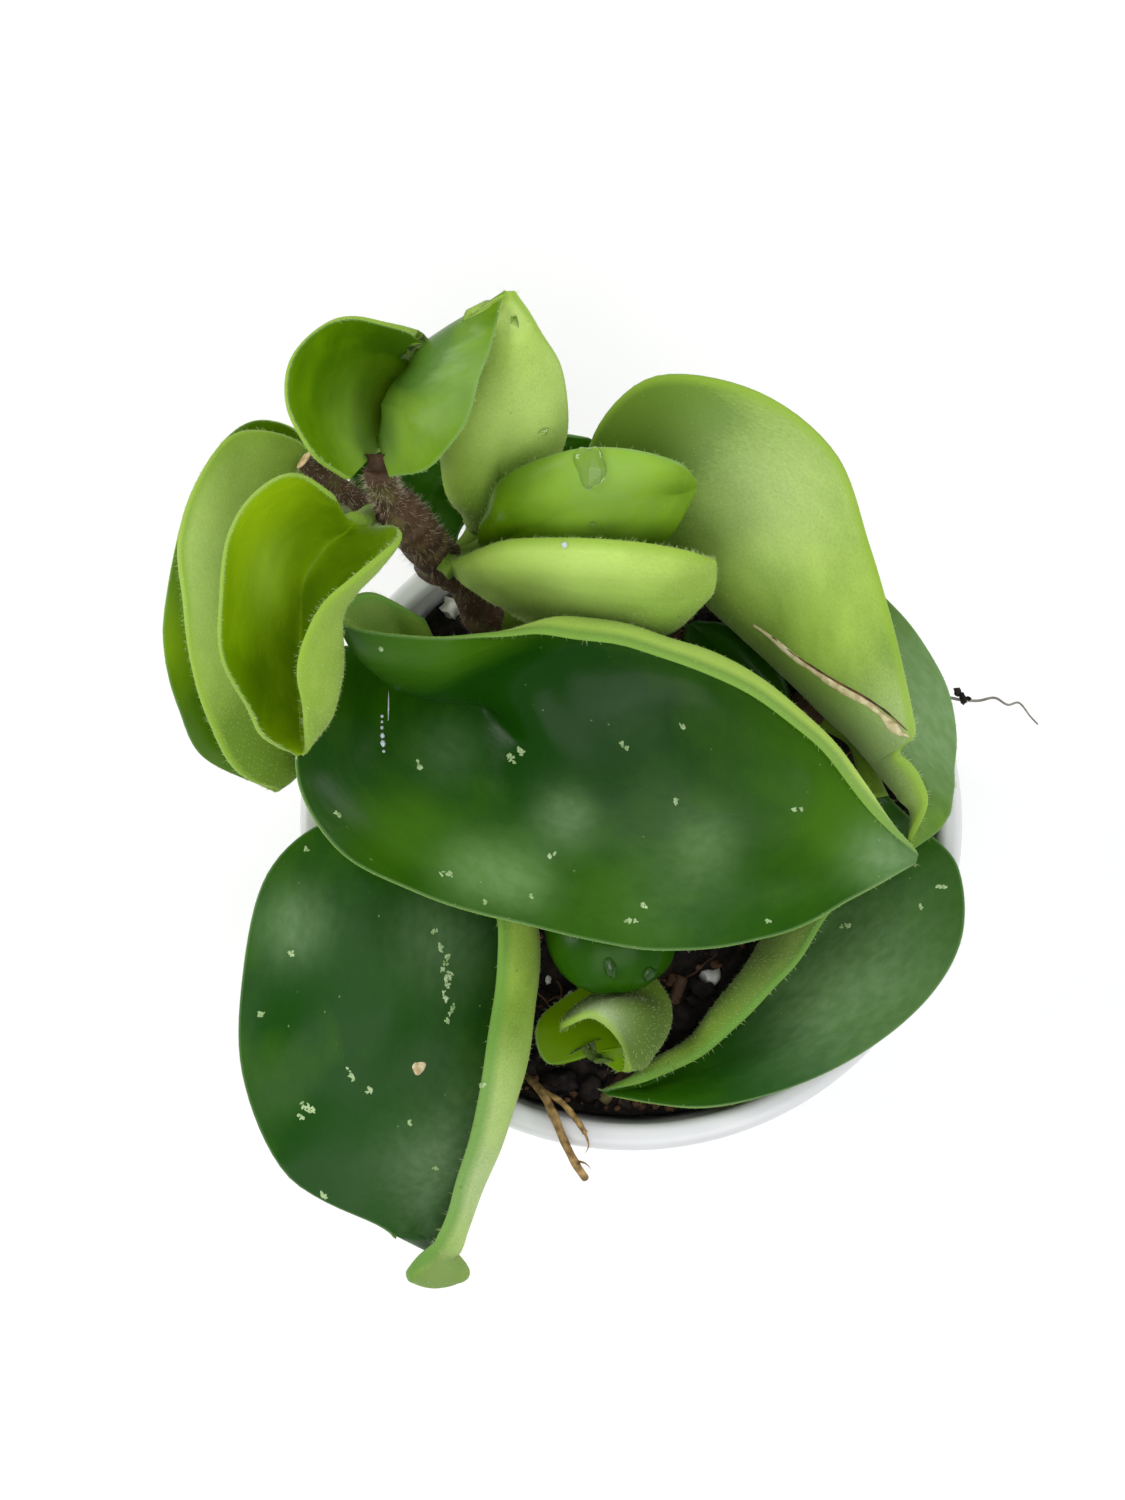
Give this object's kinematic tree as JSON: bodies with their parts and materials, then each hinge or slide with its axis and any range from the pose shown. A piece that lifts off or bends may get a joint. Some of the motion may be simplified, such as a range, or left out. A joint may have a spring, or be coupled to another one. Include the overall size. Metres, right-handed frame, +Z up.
{
  "type": "hindu rope plant",
  "caption": "Small potted house plant seen as it grows, with thick twisted and folded waxy leaves on short woody stems, for a windowsill or shelf.",
  "frame": {"origin": "centre of the underside of the pot, on the surface it stands on", "axes": "+Z up; +Y away from the viewer of the front side, towards the back of the plant; +X to the right as seen from the front"},
  "size_m": [0.0709, 0.0805, 0.0866],
  "materials": {
    "pot": "satin",
    "soil": "matte",
    "stem": "matte",
    "root": "matte",
    "leaf_mature": "satin",
    "leaf_bright": "satin",
    "leaf_young": "satin",
    "leaf_downy": "matte"
  },
  "bodies": {
    "root": {"pot": "pot", "soil": "soil", "stem_main": "stem", "stem_front": "stem", "stem_right": "stem", "leaf_front": "leaf_mature", "leaf_lower_left": "leaf_mature", "leaf_lower_right": "leaf_mature", "leaf_upper_right": "leaf_bright", "leaf_top_back": "leaf_bright", "leaf_top_heart": "leaf_bright", "leaf_inner_back": "leaf_bright", "leaf_inner_front": "leaf_downy", "leaf_left_young": "leaf_young", "leaf_left_outer": "leaf_downy", "leaf_rear": "leaf_mature", "leaf_small_dark": "leaf_mature", "leaf_small_curl": "leaf_young", "leaf_shade": "leaf_mature", "root_front": "root"}
  },
  "joints": []
}
